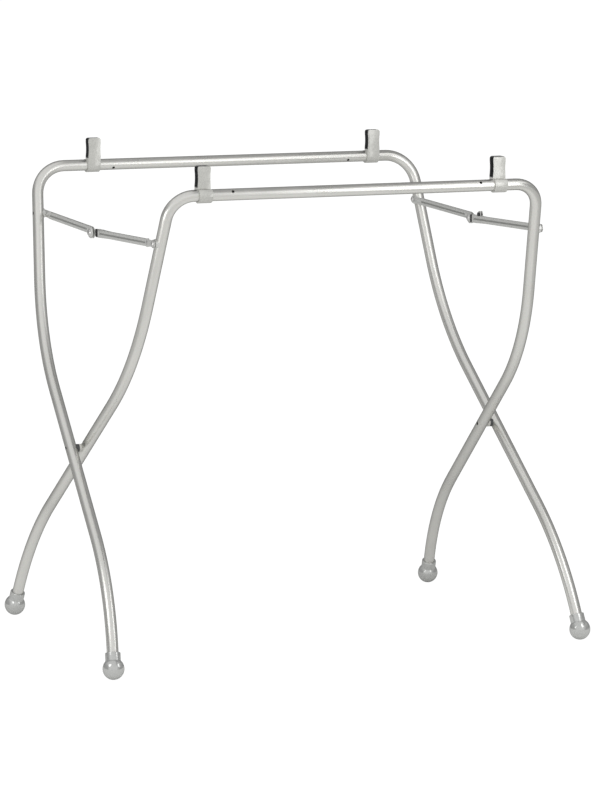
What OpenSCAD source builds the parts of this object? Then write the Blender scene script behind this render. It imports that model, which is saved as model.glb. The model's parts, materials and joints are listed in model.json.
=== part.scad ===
// Folding baby bath stand: two bent tube frames cross in an X at each end,
// with tub clips on the top bars, ball feet and a folding stay on each side.
// X runs along the top bars, Y from front to back, Z up. The origin is on the floor, in the middle.

/* [Tubes] */
// Outside diameter of the frame tube
tube_d = 20; // [16:0.5:25]
// Wall of the frame tube
tube_wall = 1.2; // [0.8:0.1:2]
// Distance between the outer frame's leg centre lines, measured at the height of the bars
outer_w = 732; // [620:2:820]
// Clear gap between an outer leg and the inner leg beside it
leg_gap = 7; // [6.6:0.1:10]
// Outward lean of the legs, seen from the front
splay = 5.25; // [3:0.25:8]
// Centre-line radius of the outer frame's bends between its top bar and its legs
outer_corner_r = 55; // [40:1:75]
// Centre-line radius of the inner frame's bends between its top bar and its legs
inner_corner_r = 45; // [40:1:48]

/* [Leg bends, seen from the side] */
// Lean of the legs from upright where they cross
cross_lean = 49.6; // [46:0.2:53]
// Straight run above the crossing
upper_straight = 137; // [110:1:160]
// Centre-line radius of the bend above the crossing
upper_r = 398; // [360:2:440]
// Lean of the legs from upright below the top bar
top_lean = 17.6; // [14:0.2:21]
// Straight run below the top bar, up to the height of the bar
top_straight = 201; // [180:1:230]
// Straight run below the crossing
lower_straight = 196; // [160:1:230]
// Centre-line radius of the bend below the crossing
lower_r = 428; // [380:2:470]
// Lean of the legs from upright at the feet
foot_lean = 21.5; // [17:0.5:26]
// Straight run at the foot, down to the middle of the ball
foot_straight = 36; // [35:1:55]

/* [Feet] */
// Diameter of a ball foot
ball_d = 37.2; // [34:0.2:46]
// Diameter of the flat on the sole
sole_d = 9; // [4:0.5:14]
// Diameter of the collar that grips the tube
collar_d = 26.5; // [26:0.5:31]
// Height of the collar above the ball
collar_rise = 8.5; // [7:0.5:16]
// Distance from the end of the tube to the middle of the ball
tube_end_gap = 6; // [2:0.5:10]

/* [Tub clips] */
// Width of a clip along the bar
clip_w = 23.5; // [20:0.5:24]
// Wall of the saddle and the tab
clip_wall = 3; // [2:0.25:4]
// Height of the tab's top above the middle of the bar
tab_rise = 49; // [40:1:60]
// Depth of the tab, front to back
tab_depth = 14.5; // [12:0.5:18]
// Walls of the hollow tab
tab_wall = 1.6; // [1.2:0.1:3]
// Straight bar left between the front bar's further clip and its bend
front_clip_end = 5.9; // [0.3:0.1:30]
// Straight bar left between the rear bar's further clip and its bend
rear_clip_end = 17.8; // [0.3:0.1:40]
// Distance by which the front bar's other clip is nearer the middle
front_clip_step = 15; // [5:0.5:40]
// Distance by which the rear bar's other clip is nearer the middle
rear_clip_step = 24.5; // [5:0.5:40]
// Angle above level where the saddle's free lip ends
lip_angle = 50; // [35:1:60]
// Diameter of the locating peg inside the saddle
peg_d = 4.8; // [4:0.1:5.4]
// Tilt of the peg holes through the bars
hole_tilt = 35; // [25:1:45]
// Distance from a bar's nearer clip to the spare peg hole beside it
near_spare_step = 38; // [20:1:60]
// Distance from a bar's further clip to the spare peg hole beside it
far_spare_step = 49; // [20:1:60]

/* [Stays] */
// Height of the stays' ends below the middle of the bars
stay_drop = 80.5; // [78:0.5:95]
// Distance of the knuckle behind the middle of the stand
knuckle_y = 20; // [8:1:28]
// Height of the knuckle below the stays' ends
knuckle_sag = 10; // [5:0.5:12]
// Height of a link
link_h = 12.5; // [11:0.5:14]
// Width of a link's channel
channel_w = 5; // [4.6:0.1:5.4]
// Sheet thickness of a link's channel
sheet = 1; // [0.8:0.1:1.3]
// Thickness of a link's flattened tongue
tongue_t = 2; // [1.6:0.1:2.2]
// Length of a tongue from its hole to where the channel starts to widen
tongue_len = 25; // [24:1:32]
// Radius of the rear link's round ear at the knuckle
ear_r = 10; // [8.5:0.25:10.5]
// Radius of the boss on the ear, under the rivet's head
boss_r = 8.5; // [7:0.25:9]
// Height of that boss
boss_h = 2; // [1:0.25:2.5]
// Distance by which the rear link's strip passes above the knuckle
strip_rise = 4; // [0:0.5:5]
// Half the height of the front link where it ends on the leg
leg_end_r = 5; // [4.5:0.25:5.5]
// Rise of the front link's edges towards the knuckle
flare = 1.25; // [0:0.25:1.5]
// Width of the groove pressed along a link's faces
groove_w = 3.2; // [2:0.2:4]
// Depth of that groove
groove_depth = 0.8; // [0.4:0.1:0.85]
// Distance from the front link's hole in the leg to the pip pressed at its channel's end
pip_reach = 30; // [24:0.5:36]
// Diameter of that pip
pip_d = 8; // [6:0.5:10]
// Radius of the channel's round end, about the pip
channel_end_r = 7.25; // [6.75:0.25:8.5]
// Length of the front link's tongue at the knuckle
knuckle_tongue = 20; // [18:1:24]
// Distance from the knuckle to the lock knob on the right-hand stay
knob_reach = 50; // [42:1:60]
// Height of the lock knob above the link's centre line
knob_rise = 9.5; // [8:0.5:11]
// Radius of the lug that carries the lock knob
lug_r = 6; // [5:0.5:8]

/* [Rivets and washers] */
// Shank diameter of the main pivot rivets
pivot_d = 6; // [5:0.5:7]
// Shank diameter of the stay rivets
stay_rivet_d = 5; // [4:0.5:5.5]
// Diameter of the saddle washers at the main pivots
pivot_washer_d = 14; // [12:0.5:16]
// Diameter of the saddle washers at the stays' ends
stay_washer_d = 16; // [13:0.5:16.5]
// Diameter of the flange under the front rivets' heads
flange_d = 14; // [12:0.5:15]
// Diameter of a domed rivet head
head_d = 10; // [8:0.5:10.5]
// Height of a domed rivet head
head_h = 3; // [2:0.25:3.2]
// Diameter of the knuckle rivet's head on the boss
knuckle_head_d = 13; // [10:0.5:15]
// Height of that head
knuckle_head_h = 4; // [3:0.25:5]
// Diameter of the rivet tails inside the tubes
tail_d = 8; // [7.5:0.25:8.5]
// Diameter of the access holes in the far walls of the legs
access_d = 6.5; // [5:0.25:7.5]

/* [Hidden] */
$fn = 64;
// Clearances
running = 0.075; // radial, a turning hole round its rivet
seat = 0.05; // a fixed piece round or on its seat
side_gap = 0.1; // either side of a plane that two turning pieces share
face_gap = 0.15; // a turning link beside a washer
split_gap = 0.15; // either side of the knuckle's parted rivet
past = 1; // how far a cut runs past the face it opens
bend_lap = 0.5; // how far a straight run reaches into the bends at its ends
bend_thin = 0.01; // a bend is thinner than a straight run by this much all round

// Leg outline in its own tilted plane, measured from the crossing
up_rise = upper_straight * cos(cross_lean) + upper_r * (sin(cross_lean) - sin(top_lean))
    + top_straight * cos(top_lean);
up_reach = upper_straight * sin(cross_lean) + upper_r * (cos(top_lean) - cos(cross_lean))
    + top_straight * sin(top_lean);
down_drop = lower_straight * cos(cross_lean) + lower_r * (sin(cross_lean) - sin(foot_lean))
    + foot_straight * cos(foot_lean);
down_reach = lower_straight * sin(cross_lean) + lower_r * (cos(foot_lean) - cos(cross_lean))
    + foot_straight * sin(foot_lean);

// Heights in the stand
ball_r = ball_d / 2;
ball_z = sqrt(ball_r * ball_r - sole_d * sole_d / 4);
pivot_z = ball_z + down_drop * cos(splay);
bar_z = pivot_z + up_rise * cos(splay);
anchor_z = bar_z - stay_drop;
anchor_y = up_reach - stay_drop / cos(splay) * tan(top_lean);

// Half widths at bar height, and the places across the stand
leg_offset = (tube_d + leg_gap) / cos(splay);
outer_half = outer_w / 2;
inner_half = outer_half - leg_offset;
half_tube = tube_d / 2 / cos(splay); // half of a leg's thickness along X
bore_r = tube_d / 2 - tube_wall;
stay_x = (leg_x(outer_half, anchor_z) + leg_x(inner_half, anchor_z)) / 2;
pivot_x = (leg_x(outer_half, pivot_z) + leg_x(inner_half, pivot_z)) / 2;

// Corner bend between the bar and a leg, and the rolls that the two bends need
bar_way = [1, 0, 0];
leg_way = [sin(splay) * cos(top_lean), -sin(top_lean), -cos(splay) * cos(top_lean)];
corner_turn = acos(bar_way * leg_way);
corner_side = (leg_way - bar_way * cos(corner_turn)) / sin(corner_turn);
corner_roll = atan2(corner_side[1], -corner_side[2]);
bend_side = [-sin(splay) * sin(top_lean), -cos(top_lean), cos(splay) * sin(top_lean)];
after_corner = corner_side * cos(corner_turn) - bar_way * sin(corner_turn);
leg_roll = atan2(bend_side * cross(bar_way, corner_side), bend_side * after_corner);

// Links, from their end holes to the knuckle
knuckle_z = anchor_z - knuckle_sag;
rear_len = norm([anchor_y - knuckle_y, knuckle_sag]);
front_len = norm([anchor_y + knuckle_y, knuckle_sag]);
rear_slope = atan2(knuckle_sag, anchor_y - knuckle_y);
front_slope = atan2(knuckle_sag, anchor_y + knuckle_y);
strip_turn = asin(strip_rise / rear_len);
shoulder = channel_w - tongue_t + 3; // length over which a tongue widens into its channel
channel_start = tongue_len + shoulder;
channel_end = front_len - knuckle_tongue; // where the front link's channel stops
flare_start = channel_end - 55;
pad_start = ear_r + 0.6; // from the knuckle to the stop pad
pad_h = link_h + 1.5;
tongue_set = 1; // the knuckle tongue stands in from the shared plane by this much
front_far = inner_half - corner_tangent(inner_corner_r) - front_clip_end - clip_w / 2;
front_near = front_far - front_clip_step;
rear_far = outer_half - corner_tangent(outer_corner_r) - rear_clip_end - clip_w / 2;
rear_near = rear_far - rear_clip_step;
saddle_r = tube_d / 2 + clip_wall;
clip_bore_r = tube_d / 2 + seat;
tab_corner_r = 4;
pivot_tail = bore_r - 1.6; // a tail's face lies this far from the middle of its tube
tail_t = 1.5;
flange_t = 1.2;

// X of a leg's centre line at a height, on the right-hand side
function leg_x(half_w, z) = half_w + (bar_z - z) * tan(splay);

// Distance from a corner's sharp point to where its bend starts
function corner_tangent(corner_r) = corner_r * tan(corner_turn / 2);

// The bender's list of one half of a frame, from the end of its straight bar down to the foot.
// Each row is: straight feed, roll before the bend, bend radius, bend angle.
function bend_list(corner_r, tail) = [
    [0, corner_roll, corner_r, corner_turn],
    [top_straight - corner_tangent(corner_r), leg_roll, upper_r, cross_lean - top_lean],
    [upper_straight + lower_straight, 180, lower_r, cross_lean - foot_lean],
    [tail, 0, 0, 0]];

// A round rod bent by such a list, starting along +Z. The bends come out slightly thinner.
module bent_rod(d, steps, i = 0) {
    feed = steps[i][0];
    roll = steps[i][1];
    r = steps[i][2];
    turn = steps[i][3];
    if (feed > 0) translate([0, 0, -bend_lap]) cylinder(h = feed + 2 * bend_lap, d = d);
    if (i + 1 < len(steps)) translate([0, 0, feed]) rotate([0, 0, roll]) {
        translate([r, 0, 0]) rotate([90, 0, 180])
            rotate_extrude(angle = turn) translate([r, 0]) circle(d = d - 2 * bend_thin);
        translate([r, 0, 0]) rotate([0, turn, 0]) translate([-r, 0, 0]) bent_rod(d, steps, i + 1);
    }
}

// A frame's whole rod, with the bar at the back
module frame_rod(d, half_w, corner_r, tail) {
    bar_end = half_w - corner_tangent(corner_r);
    translate([0, up_reach, bar_z]) {
        x_rod(-bar_end - bend_lap, bar_end + bend_lap, d);
        for (side = [0, 1]) mirror([side, 0, 0]) translate([bar_end, 0, 0])
            rotate([0, 90, 0]) bent_rod(d, bend_list(corner_r, tail - bend_lap));
    }
}

// Children drawn for the right-hand side, put on either side
module on_side(side) {
    if (side < 0) mirror([1, 0, 0]) children();
    else children();
}

// A cylinder along X from one place to another
module x_rod(x0, x1, d) translate([x0, 0, 0]) rotate([0, 90, 0]) cylinder(h = x1 - x0, d = d);

// A hole along X through one wall of a leg, opening inwards (way = -1) or outwards (way = 1)
module wall_hole(half_w, y, z, way, d) {
    translate([leg_x(half_w, z), y, z]) rotate([0, 90 * way, 0]) cylinder(h = tube_d, d = d);
}

// Through holes in a rear bar: one under each clip, and the spare one beside it
module peg_holes(near, near_side, far) {
    for (x = [near, near - near_spare_step, -far, far_spare_step - far] * near_side)
        translate([x, up_reach, bar_z]) rotate([90 + hole_tilt, 0, 0])
            cylinder(h = 2 * tube_d, d = peg_d + 0.2, center = true);
}

module hollow_frame(half_w, corner_r) {
    difference() {
        frame_rod(tube_d, half_w, corner_r, foot_straight - tube_end_gap, $fn = 36);
        frame_rod(2 * bore_r, half_w, corner_r, foot_straight - tube_end_gap + past, $fn = 36);
        children();
    }
}

module outer_frame_tube() color("#c3c3bf") hollow_frame(outer_half, outer_corner_r) {
    peg_holes(rear_near, -1, rear_far);
    for (side = [-1, 1]) on_side(side) {
        wall_hole(outer_half, 0, pivot_z, -1, pivot_d + 2 * seat);
        wall_hole(outer_half, 0, pivot_z, 1, access_d);
        wall_hole(outer_half, anchor_y, anchor_z, -1, stay_rivet_d + 2 * seat);
        wall_hole(outer_half, anchor_y, anchor_z, 1, access_d);
    }
}

module inner_frame_tube() color("#c3c3bf") mirror([0, 1, 0]) hollow_frame(inner_half, inner_corner_r) {
    peg_holes(front_near, 1, front_far);
    for (side = [-1, 1]) on_side(side) {
        wall_hole(inner_half, 0, pivot_z, 1, pivot_d + 2 * running);
        wall_hole(inner_half, 0, pivot_z, -1, access_d);
        wall_hole(inner_half, anchor_y, anchor_z, 1, stay_rivet_d + 2 * seat);
    }
}

// Ball foot on the end of a front leg, drawn for the right-hand side
module ball_foot(half_w) {
    lip_r = 1.2;
    collar_h = ball_r + collar_rise;
    color("#b0b0ae") translate([half_w + (up_rise + down_drop) * sin(splay), -down_reach, ball_z])
        difference() {
            rotate([0, -splay, 0]) rotate([-foot_lean, 0, 0]) difference() {
                union() {
                    sphere(d = ball_d);
                    cylinder(h = collar_h - lip_r, d = collar_d);
                    translate([0, 0, collar_h - lip_r]) rotate_extrude()
                        translate([collar_d / 2 - lip_r, 0]) circle(r = lip_r);
                }
                translate([0, 0, tube_end_gap - seat]) cylinder(h = collar_h, d = tube_d + 2 * seat);
            }
            translate([0, 0, -ball_z - ball_r]) cylinder(h = ball_r, d = ball_d);
        }
}

// Side view of a clip: the tub is at +X of the drawing, the bar's middle is the origin
module clip_outline() {
    difference() {
        union() {
            circle(r = saddle_r);
            translate([saddle_r - tab_depth, 0]) square([tab_depth, tab_rise - clip_wall]);
            translate([saddle_r - tab_depth + clip_wall, tab_rise - clip_wall])
                square([tab_depth - clip_wall, clip_wall]);
            translate([saddle_r - tab_depth + clip_wall, tab_rise - clip_wall]) circle(r = clip_wall);
        }
        circle(r = clip_bore_r);
        // the mouth between the tab and the saddle's free lip
        polygon([[0, 0],
            [-2 * saddle_r * cos(lip_angle), 2 * saddle_r * sin(lip_angle)],
            [saddle_r - tab_depth, 2 * saddle_r * sin(lip_angle)],
            [saddle_r - tab_depth, tube_d / 2]]);
    }
}

// Front view of a clip: rounded top corners, sides drawn in a little halfway up
module clip_front() {
    waist = 0.7;
    waist_r = (tab_rise * tab_rise / 16 + waist * waist) / (2 * waist);
    difference() {
        union() {
            translate([-clip_w / 2, -saddle_r - past])
                square([clip_w, saddle_r + past + tab_rise - tab_corner_r]);
            translate([-clip_w / 2 + tab_corner_r, 0]) square([clip_w - 2 * tab_corner_r, tab_rise]);
            for (side = [-1, 1]) translate([side * (clip_w / 2 - tab_corner_r), tab_rise - tab_corner_r])
                circle(r = tab_corner_r);
        }
        for (side = [-1, 1]) translate([side * (clip_w / 2 + waist_r - waist), tab_rise * 0.58])
            circle(r = waist_r, $fn = 180);
    }
}

// Clip on the back bar at a place along it
module tub_clip(x) {
    pocket = (clip_w - tab_wall) / 2;
    color("#c6c7bb") translate([x, up_reach, bar_z]) difference() {
        union() {
            intersection() {
                rotate([90, 0, -90]) linear_extrude(height = 2 * clip_w, center = true) clip_outline();
                rotate([90, 0, 0]) linear_extrude(height = 4 * saddle_r, center = true) clip_front();
            }
            rotate([90 + hole_tilt, 0, 0]) translate([0, 0, bore_r - clip_wall / 2])
                cylinder(h = clip_wall / 2 + tube_wall + clip_wall / 2, d = peg_d);
        }
        for (side = [-1, 1]) translate([side * (pocket / 2 + tab_wall / 2 + past / 2), 0, 0])
            translate([-pocket / 2 - past / 2, -saddle_r + tab_wall, saddle_r + tab_wall])
                cube([pocket + past, tab_depth - 2 * tab_wall, tab_rise - saddle_r - 2 * tab_wall]);
    }
}

// Straight stretch of a leg where it crosses or carries a stay, for cutting saddle washers
module leg_stretch(half_w, z, lean) {
    translate([leg_x(half_w, z), 0, z]) rotate([0, -splay, 0]) rotate([-lean, 0, 0])
        cylinder(h = 4 * tube_d, d = tube_d + 2 * seat, center = true);
}

// A washer along X from a flat face at x0 to beyond a tube at x1, hollowed to sit on the tube
module saddle_washer(x0, x1, d, hole) {
    difference() {
        x_rod(min(x0, x1), max(x0, x1), d);
        x_rod(min(x0, x1) - past, max(x0, x1) + past, hole);
        children();
    }
}

module outer_pivot_washer() {
    color("#4a4a4c") saddle_washer(pivot_x + side_gap, leg_x(outer_half, pivot_z) - tube_d / 4,
        pivot_washer_d, pivot_d + 2 * seat)
        translate([0, 0, -pivot_z]) leg_stretch(outer_half, pivot_z, cross_lean);
}

module inner_pivot_washer() {
    color("#d2d2ce") saddle_washer(pivot_x - side_gap, leg_x(inner_half, pivot_z) + tube_d / 4,
        pivot_washer_d, pivot_d + 2 * running)
        translate([0, 0, -pivot_z]) leg_stretch(inner_half, pivot_z, -cross_lean);
}

// Rivet through the facing walls of two crossing legs, with its tails inside the tubes
module pivot_rivet() {
    inner_tail = leg_x(inner_half, pivot_z) + pivot_tail;
    outer_tail = leg_x(outer_half, pivot_z) - pivot_tail;
    color("#8d8f92") {
        x_rod(inner_tail - tail_t, outer_tail + tail_t, pivot_d);
        x_rod(inner_tail - tail_t, inner_tail, tail_d);
        x_rod(outer_tail, outer_tail + tail_t, tail_d);
    }
}

// Dome whose flat face is at the origin, rising along +Z
module dome(d, h) {
    r = (d * d / 4 + h * h) / (2 * h);
    intersection() {
        translate([0, 0, h - r]) sphere(r = r);
        cylinder(h = h, d = d);
    }
}

module dome_head() dome(head_d, head_h);

module rear_anchor_washer() {
    color("#b4b4b0") saddle_washer(stay_x + side_gap + tongue_t + face_gap,
        leg_x(outer_half, anchor_z) - tube_d / 4, stay_washer_d, stay_rivet_d + 2 * seat)
        translate([0, 0, -anchor_z]) leg_stretch(outer_half, anchor_z, top_lean);
}

module front_anchor_washer() {
    color("#b4b4b0") saddle_washer(stay_x - side_gap - tongue_t - face_gap,
        leg_x(inner_half, anchor_z) + tube_d / 4, stay_washer_d, stay_rivet_d + 2 * seat)
        translate([0, 0, -anchor_z]) leg_stretch(inner_half, anchor_z, -top_lean);
}

// Rivet of the rear link on the outer leg: head towards the middle of the stand
module rear_anchor_rivet() {
    tail = leg_x(outer_half, anchor_z) - pivot_tail;
    color("#b9bbbd") {
        x_rod(stay_x - head_h / 2, tail + tail_t, stay_rivet_d);
        x_rod(tail, tail + tail_t, tail_d);
        translate([stay_x, 0, 0]) rotate([0, -90, 0]) dome_head();
    }
}

// Rivet of the front link on the inner leg: head away from the middle of the stand
module front_anchor_rivet() {
    tail = leg_x(inner_half, anchor_z) + pivot_tail;
    color("#b9bbbd") {
        x_rod(tail - tail_t, stay_x + flange_t + head_h / 2, stay_rivet_d);
        x_rod(tail - tail_t, tail, tail_d);
        x_rod(stay_x, stay_x + flange_t, flange_d);
        translate([stay_x + flange_t, 0, 0]) rotate([0, 90, 0]) dome_head();
    }
}

// Links are drawn in their own side view: the end hole is the origin and the knuckle is along +X.
// Depth runs along +Z of the drawing, from the plane that both links share.
module strip_outline(length, end_r, far_r) {
    circle(r = end_r);
    translate([0, -link_h / 2]) square([length, link_h]);
    translate([length, 0]) circle(r = far_r);
}

// Groove along a link, from x0 to x1, pressed into the face at depth z towards way (1 or -1)
module groove(x0, x1, z, way) {
    flank = groove_w / 2 * 1.25;
    translate([x0, 0, z]) rotate([90, 0, 90]) linear_extrude(height = x1 - x0)
        polygon([[-flank * way, -groove_depth / 4 * way], [flank * way, -groove_depth / 4 * way],
            [0, groove_depth * way]]);
}

// Plan of the rear link: flat tongue, shoulder, then channel up to the knuckle
module rear_plan() {
    polygon([[-link_h, side_gap], [rear_len + ear_r, side_gap],
        [rear_len + ear_r, side_gap + channel_w], [channel_start, side_gap + channel_w],
        [tongue_len, side_gap + tongue_t], [-link_h, side_gap + tongue_t]]);
}

module rear_link_shape() {
    open_from = rear_len - ear_r - 3; // beyond this the floor stops and the cheeks stand apart
    difference() {
        union() {
            intersection() {
                linear_extrude(height = channel_w + 1) {
                    rotate(strip_turn) strip_outline(rear_len, link_h / 2, link_h / 2);
                    translate([rear_len, 0]) circle(r = ear_r);
                }
                rotate([90, 0, 0]) linear_extrude(height = 4 * ear_r, center = true) rear_plan();
            }
            translate([rear_len, 0, side_gap + channel_w - sheet / 2])
                cylinder(h = boss_h + sheet / 2, r = boss_r);
        }
        for (side = [0, 1]) rotate(strip_turn)
            groove(channel_start + link_h / 2, open_from - link_h / 2, side_gap + side * channel_w, 1 - 2 * side);
        translate([0, 0, side_gap + sheet]) linear_extrude(height = channel_w - 2 * sheet) {
            rotate(strip_turn) translate([channel_start, -link_h / 2 + sheet])
                square([rear_len, link_h + ear_r]);
            translate([open_from, -2 * ear_r]) square([4 * ear_r, 4 * ear_r]);
        }
        for (x = [0, rear_len]) translate([x, 0, 0])
            cylinder(h = 2 * channel_w, d = stay_rivet_d + 2 * (x == 0 ? running : seat));
    }
}

// Plan of the front link: flat tongue, shoulder, channel, then the knuckle tongue beside the mid plane
module front_plan() {
    polygon([[-link_h, side_gap], [channel_end, side_gap],
        [channel_end, side_gap + tongue_set], [front_len + link_h, side_gap + tongue_set],
        [front_len + link_h, side_gap + tongue_set + tongue_t],
        [channel_end, side_gap + tongue_set + tongue_t], [channel_end, side_gap + channel_w],
        [channel_start, side_gap + channel_w], [tongue_len, side_gap + tongue_t],
        [-link_h, side_gap + tongue_t]]);
}

// Side view of the front link: low where it ends on the leg, highest near the knuckle
module front_outline() {
    circle(r = leg_end_r);
    polygon([[0, -leg_end_r], [channel_start, -link_h / 2], [flare_start, -link_h / 2],
        [channel_end, -link_h / 2 - flare], [channel_end, link_h / 2 + flare],
        [flare_start, link_h / 2], [channel_start, link_h / 2], [0, leg_end_r]]);
    translate([pip_reach, 0]) circle(r = channel_end_r);
    translate([channel_end - past, -link_h / 2]) square([knuckle_tongue + past, link_h]);
    translate([front_len, 0]) circle(r = link_h / 2);
}

module front_link_shape(with_lug) {
    floor_y = -link_h / 2 + sheet;
    difference() {
        union() {
            intersection() {
                linear_extrude(height = channel_w + 1) {
                    front_outline();
                    if (with_lug) translate([front_len - knob_reach, knob_rise]) circle(r = lug_r);
                    if (with_lug) translate([front_len - knob_reach - lug_r, 0]) square([2 * lug_r, knob_rise]);
                }
                rotate([90, 0, 0]) linear_extrude(height = 4 * ear_r, center = true) front_plan();
            }
            translate([pip_reach, 0, side_gap]) rotate([180, 0, 0]) dome(pip_d, head_h / 2);
            translate([pip_reach, 0, side_gap]) cylinder(h = tongue_t / 2, d = pip_d);
        }
        for (side = [0, 1])
            groove(channel_start + link_h / 2, channel_end - link_h / 2, side_gap + side * channel_w, 1 - 2 * side);
        difference() {
            translate([0, 0, side_gap + sheet]) linear_extrude(height = channel_w - 2 * sheet)
                polygon([[channel_start, floor_y], [flare_start, floor_y], [channel_end, floor_y - flare],
                    [channel_end + past, floor_y - flare], [channel_end + past, 2 * link_h],
                    [channel_start, 2 * link_h]]);
            // the knuckle tongue stays, run back into the channel along its cheek
            translate([channel_end - knuckle_tongue, -link_h, side_gap + sheet])
                cube([2 * knuckle_tongue, 3 * link_h, tongue_set + tongue_t - sheet]);
        }
        cylinder(h = 2 * channel_w, d = stay_rivet_d + 2 * running);
        translate([front_len, 0, 0]) cylinder(h = 2 * channel_w, d = stay_rivet_d + 2 * seat);
        if (with_lug) translate([front_len - knob_reach, knob_rise, -past])
            cylinder(h = 3 * channel_w, d = stay_rivet_d + 2 * seat);
    }
}

// Puts a link's drawing at its place on the right-hand side.
// The rear link runs forwards from the outer leg, and its depth runs outwards.
module rear_link_place() {
    translate([stay_x, anchor_y, anchor_z]) rotate([rear_slope, 0, 0])
        rotate([90, 0, -90]) mirror([0, 0, 1]) children();
}

// The front link runs backwards from the inner leg, and its depth runs inwards
module front_link_place() {
    translate([stay_x, -anchor_y, anchor_z]) rotate([-front_slope, 0, 0])
        rotate([90, 0, 90]) mirror([0, 0, 1]) children();
}

module rear_link() color("#b4b4b0") rear_link_place() rear_link_shape();

module front_link(with_lug) color("#b4b4b0") front_link_place() front_link_shape(with_lug);

// Rear half of the knuckle's rivet: head on the boss, shank up to the shared plane
module knuckle_rivet() color("#d6d7d8") rear_link_place() translate([rear_len, 0, 0]) {
    boss_z = side_gap + channel_w + boss_h;
    translate([0, 0, split_gap]) cylinder(h = boss_z - split_gap, d = stay_rivet_d);
    translate([0, 0, boss_z]) dome(knuckle_head_d, knuckle_head_h);
}

// Front half of the knuckle's rivet: shank from the shared plane, head on the inner side
module knuckle_rivet_tail() color("#d6d7d8") front_link_place() translate([front_len, 0, 0]) {
    translate([0, 0, split_gap]) cylinder(h = side_gap + tongue_set + tongue_t - split_gap, d = stay_rivet_d);
    translate([0, 0, side_gap + tongue_set + tongue_t]) dome_head();
}

// Black sleeve on the knuckle tongue that the rear link's ear closes up to
module stop_pad() {
    color("#1d1d1f") front_link_place() difference() {
        translate([front_len - knuckle_tongue + seat, -pad_h / 2, side_gap])
            cube([knuckle_tongue - pad_start, pad_h, channel_w - sheet]);
        translate([front_len - 2 * knuckle_tongue, -link_h / 2 - seat, side_gap + tongue_set - seat])
            cube([3 * knuckle_tongue, link_h + 2 * seat, tongue_t + 2 * seat]);
    }
}

// Knob through the lug of the right-hand front link, which is lifted to let the stay fold
module lock_knob() {
    knob_d = stay_rivet_d + 2;
    color("#5a5a5c") front_link_place()
        translate([front_len - knob_reach, knob_rise, side_gap]) {
            cylinder(h = channel_w + sheet, d = stay_rivet_d);
            translate([0, 0, channel_w]) cylinder(h = head_h, d = knob_d);
        }
}

// Children drawn about the X axis, put at a stay's end or at the crossing
module at_rear_anchor() translate([0, anchor_y, anchor_z]) children();
module at_front_anchor() translate([0, -anchor_y, anchor_z]) children();
module at_pivot() translate([0, 0, pivot_z]) children();

outer_frame_tube();
inner_frame_tube();
on_side(-1) ball_foot(outer_half);  // foot_front_left
on_side(1) ball_foot(outer_half);  // foot_front_right
on_side(-1) mirror([0, 1, 0]) ball_foot(inner_half);  // foot_rear_left
on_side(1) mirror([0, 1, 0]) ball_foot(inner_half);  // foot_rear_right
tub_clip(-rear_near);  // tub_clip_rear_left
tub_clip(rear_far);  // tub_clip_rear_right
mirror([0, 1, 0]) tub_clip(-front_far);  // tub_clip_front_left
mirror([0, 1, 0]) tub_clip(front_near);  // tub_clip_front_right
on_side(-1) at_pivot() pivot_rivet();  // pivot_rivet_left
on_side(1) at_pivot() pivot_rivet();  // pivot_rivet_right
on_side(-1) at_pivot() outer_pivot_washer();  // outer_pivot_washer_left
on_side(1) at_pivot() outer_pivot_washer();  // outer_pivot_washer_right
on_side(-1) at_pivot() inner_pivot_washer();  // inner_pivot_washer_left
on_side(1) at_pivot() inner_pivot_washer();  // inner_pivot_washer_right
on_side(-1) rear_link();  // rear_link_left
on_side(1) rear_link();  // rear_link_right
on_side(-1) front_link(false);  // front_link_left
on_side(1) front_link(true);  // front_link_right
on_side(-1) at_rear_anchor() rear_anchor_rivet();  // rear_anchor_rivet_left
on_side(1) at_rear_anchor() rear_anchor_rivet();  // rear_anchor_rivet_right
on_side(-1) at_front_anchor() front_anchor_rivet();  // front_anchor_rivet_left
on_side(1) at_front_anchor() front_anchor_rivet();  // front_anchor_rivet_right
on_side(-1) at_rear_anchor() rear_anchor_washer();  // rear_anchor_washer_left
on_side(1) at_rear_anchor() rear_anchor_washer();  // rear_anchor_washer_right
on_side(-1) at_front_anchor() front_anchor_washer();  // front_anchor_washer_left
on_side(1) at_front_anchor() front_anchor_washer();  // front_anchor_washer_right
on_side(-1) knuckle_rivet();  // knuckle_rivet_left
on_side(1) knuckle_rivet();  // knuckle_rivet_right
on_side(-1) knuckle_rivet_tail();  // knuckle_rivet_tail_left
on_side(1) knuckle_rivet_tail();  // knuckle_rivet_tail_right
on_side(-1) stop_pad();  // stop_pad_left
on_side(1) stop_pad();  // stop_pad_right
on_side(1) lock_knob();  // lock_knob_right
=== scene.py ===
# %% [markdown]
# # A folding baby bath stand
# Two bent steel frames cross in an X at each end and carry a bath on their top bars.
# The solids come from the CAD model. This file gives them their finishes, rounds the
# edges that a mould or a press leaves round, and lights the stand as a studio would.

# %% Load the CAD model
import json
import math

import bmesh
import bpy
from mathutils import Matrix, Vector

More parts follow.
